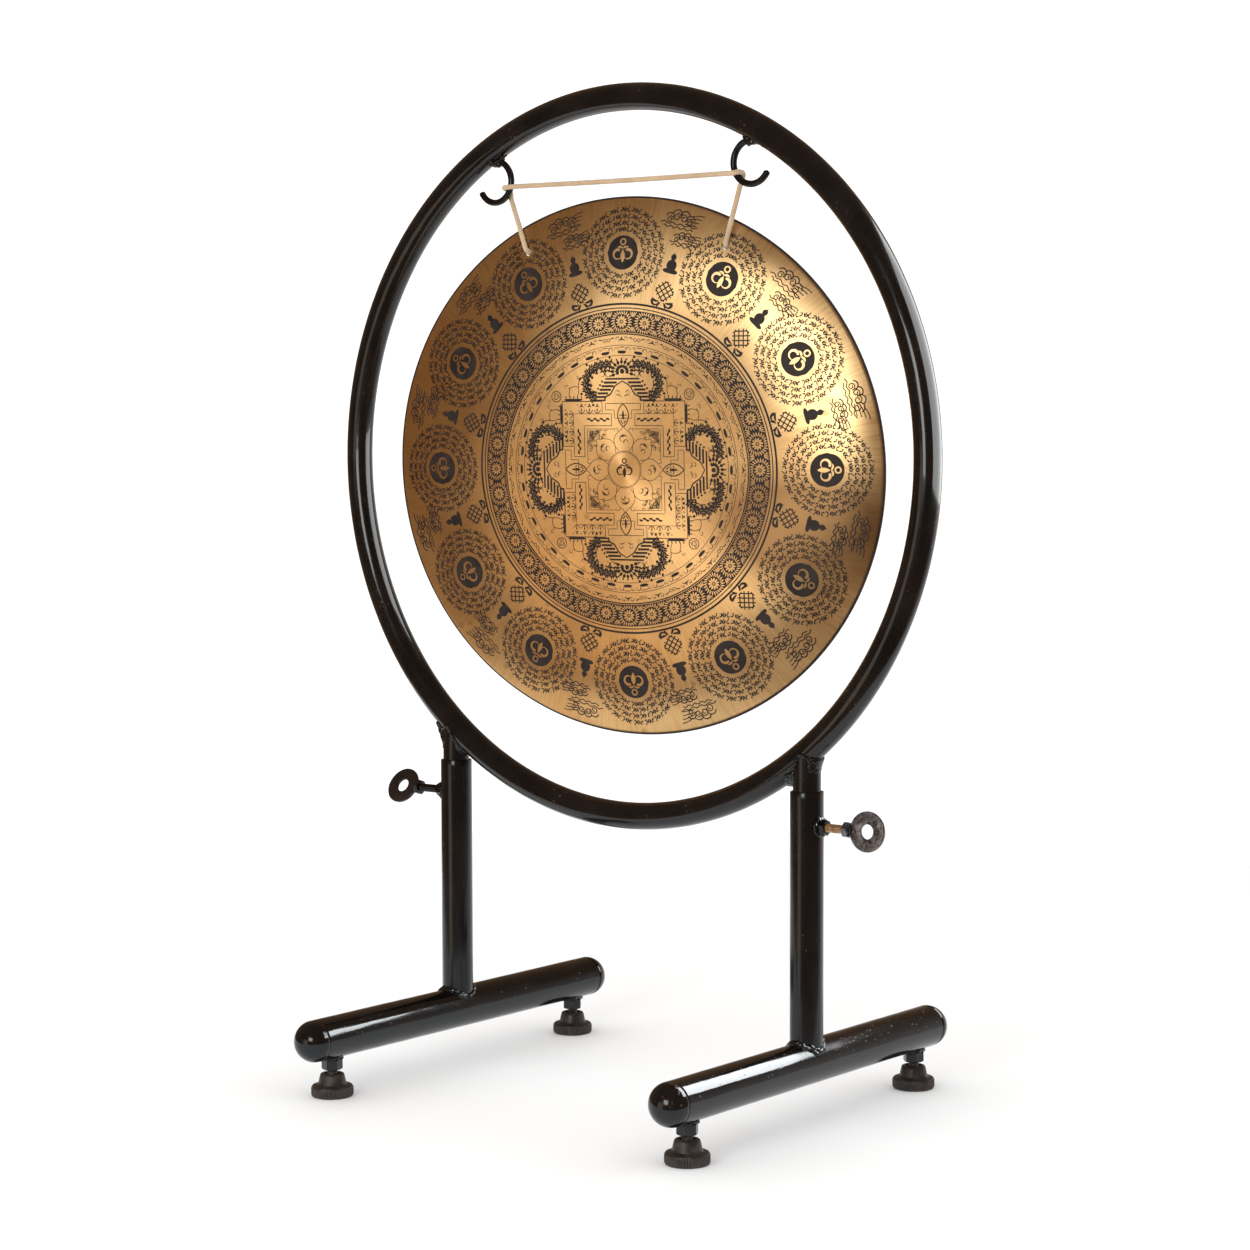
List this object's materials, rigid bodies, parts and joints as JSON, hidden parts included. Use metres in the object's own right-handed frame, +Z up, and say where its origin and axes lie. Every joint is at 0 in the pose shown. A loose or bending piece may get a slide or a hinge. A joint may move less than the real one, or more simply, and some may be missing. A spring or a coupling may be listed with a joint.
{
  "type": "tam tam gong",
  "caption": "Engraved bronze gong hung on a cord inside a round black hoop, on two T-shaped legs with clamp screws and levelling feet.",
  "frame": {"origin": "on the floor, under the middle of the hoop", "axes": "+X along the hoop's plane to the right leg, -Y is the engraved front, +Z up"},
  "size_m": [0.687, 0.4396, 0.9355],
  "materials": {
    "black_enamel": "thick glossy black enamel, brushed on",
    "gong_bronze": "satin bronze with a dark etched pattern",
    "cord_cotton": "twisted natural cotton",
    "foot_plastic": "dark brown-black plastic with a knurled wheel",
    "stud_zinc": "dull dark zinc, threaded",
    "screw_brass": "bare coppery thread"
  },
  "bodies": {
    "left_leg": {"left_leg_tube": "black_enamel", "left_base_tube": "black_enamel", "left_clamp_nut": "black_enamel", "front_left_end_cap": "black_enamel", "front_left_foot_nut": "black_enamel", "back_left_end_cap": "black_enamel", "back_left_foot_nut": "black_enamel"},
    "left_clamp_shank": {"left_clamp_shank": "black_enamel"},
    "left_clamp_handle": {"left_clamp_head": "black_enamel", "left_clamp_ring": "black_enamel"},
    "front_left_stud": {"front_left_foot_stud": "stud_zinc"},
    "front_left_knob": {"front_left_foot_knob": "foot_plastic"},
    "back_left_stud": {"back_left_foot_stud": "stud_zinc"},
    "back_left_knob": {"back_left_foot_knob": "foot_plastic"},
    "right_leg": {"right_leg_tube": "black_enamel", "right_base_tube": "black_enamel", "right_clamp_nut": "black_enamel", "front_right_end_cap": "black_enamel", "front_right_foot_nut": "black_enamel", "back_right_end_cap": "black_enamel", "back_right_foot_nut": "black_enamel"},
    "right_clamp_shank": {"right_clamp_shank": "screw_brass"},
    "right_clamp_handle": {"right_clamp_head": "black_enamel", "right_clamp_ring": "black_enamel"},
    "front_right_stud": {"front_right_foot_stud": "stud_zinc"},
    "front_right_knob": {"front_right_foot_knob": "foot_plastic"},
    "back_right_stud": {"back_right_foot_stud": "stud_zinc"},
    "back_right_knob": {"back_right_foot_knob": "foot_plastic"},
    "hoop": {"hoop_tube": "black_enamel", "left_stub": "black_enamel", "right_stub": "black_enamel", "left_hook": "black_enamel", "right_hook": "black_enamel", "cord_run": "cord_cotton"},
    "gong": {"gong_plate": "gong_bronze", "left_cord_drop": "cord_cotton", "right_cord_drop": "cord_cotton", "left_knot": "cord_cotton", "right_knot": "cord_cotton"}
  },
  "joints": [
    {"name": "hoop_height", "type": "slide", "parent": "left_leg", "child": "hoop", "axis": [0, 0, 1], "range_m": [0, 0.1]},
    {"name": "right_leg_slide", "type": "slide", "parent": "hoop", "child": "right_leg", "axis": [0, 0, 1], "range_m": [-0.1, 0]},
    {"name": "gong_swing", "type": "hinge", "parent": "hoop", "child": "gong", "pos_m": [0, 0.0056, 0.838], "axis": [1, 0, 0], "range_deg": [-30, 30]},
    {"name": "front_left_foot_travel", "type": "slide", "parent": "left_leg", "child": "front_left_stud", "axis": [0, 0, -1], "range_m": [-0.003, 0.006]},
    {"name": "front_left_foot_turn", "type": "hinge", "parent": "front_left_stud", "child": "front_left_knob", "pos_m": [-0.2065, -0.178, 0.01], "axis": [0, 0, -1], "range_deg": [-720, 1440]},
    {"name": "back_left_foot_travel", "type": "slide", "parent": "left_leg", "child": "back_left_stud", "axis": [0, 0, -1], "range_m": [-0.003, 0.006]},
    {"name": "back_left_foot_turn", "type": "hinge", "parent": "back_left_stud", "child": "back_left_knob", "pos_m": [-0.2065, 0.178, 0.01], "axis": [0, 0, -1], "range_deg": [-720, 1440]},
    {"name": "left_clamp_travel", "type": "slide", "parent": "left_leg", "child": "left_clamp_shank", "axis": [-1, 0, 0], "range_m": [0, 0.0075]},
    {"name": "left_clamp_turn", "type": "hinge", "parent": "left_clamp_shank", "child": "left_clamp_handle", "pos_m": [-0.2465, 0, 0.268], "axis": [-1, 0, 0], "range_deg": [0, 2160]},
    {"name": "front_right_foot_travel", "type": "slide", "parent": "right_leg", "child": "front_right_stud", "axis": [0, 0, -1], "range_m": [-0.003, 0.006]},
    {"name": "front_right_foot_turn", "type": "hinge", "parent": "front_right_stud", "child": "front_right_knob", "pos_m": [0.2065, -0.178, 0.01], "axis": [0, 0, -1], "range_deg": [-720, 1440]},
    {"name": "back_right_foot_travel", "type": "slide", "parent": "right_leg", "child": "back_right_stud", "axis": [0, 0, -1], "range_m": [-0.003, 0.006]},
    {"name": "back_right_foot_turn", "type": "hinge", "parent": "back_right_stud", "child": "back_right_knob", "pos_m": [0.2065, 0.178, 0.01], "axis": [0, 0, -1], "range_deg": [-720, 1440]},
    {"name": "right_clamp_travel", "type": "slide", "parent": "right_leg", "child": "right_clamp_shank", "axis": [1, 0, 0], "range_m": [0, 0.0075]},
    {"name": "right_clamp_turn", "type": "hinge", "parent": "right_clamp_shank", "child": "right_clamp_handle", "pos_m": [0.2465, 0, 0.268], "axis": [1, 0, 0], "range_deg": [0, 2160]}
  ],
  "couplings": [
    {"joint": "right_leg_slide", "follows": "hoop_height", "ratio": -1},
    {"joint": "front_left_foot_turn", "follows": "front_left_foot_travel", "rad_per_m": 4188},
    {"joint": "back_left_foot_turn", "follows": "back_left_foot_travel", "rad_per_m": 4188},
    {"joint": "left_clamp_turn", "follows": "left_clamp_travel", "rad_per_m": 5026},
    {"joint": "front_right_foot_turn", "follows": "front_right_foot_travel", "rad_per_m": 4188},
    {"joint": "back_right_foot_turn", "follows": "back_right_foot_travel", "rad_per_m": 4188},
    {"joint": "right_clamp_turn", "follows": "right_clamp_travel", "rad_per_m": 5026}
  ]
}
